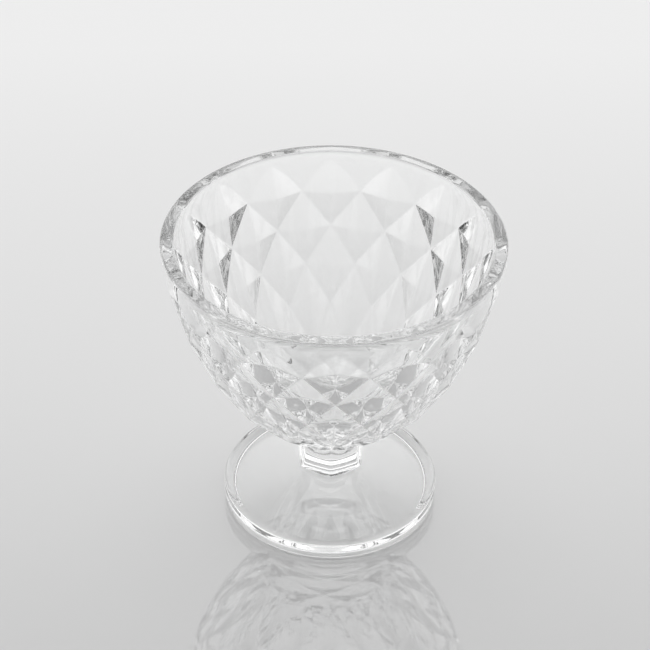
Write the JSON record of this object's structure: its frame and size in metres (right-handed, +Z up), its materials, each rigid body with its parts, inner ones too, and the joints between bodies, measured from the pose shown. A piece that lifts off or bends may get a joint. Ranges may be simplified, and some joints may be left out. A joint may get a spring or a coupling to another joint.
{
  "type": "footed ice cream bowl",
  "caption": "Clear pressed glass ice cream bowl with sunk diamond facets, on a short six-sided stem and a round foot.",
  "frame": {"origin": "middle of the foot's standing ring, on the surface that the bowl stands on", "axes": "+Z up along the bowl's axis, -Y towards the picture's viewer, with a column of facets and a corner of the stem facing it"},
  "size_m": [0.11, 0.11, 0.105],
  "materials": {
    "clear_glass": "polished, transparent"
  },
  "bodies": {
    "root": {"bowl": "clear_glass", "stem": "clear_glass", "foot": "clear_glass"}
  },
  "joints": []
}
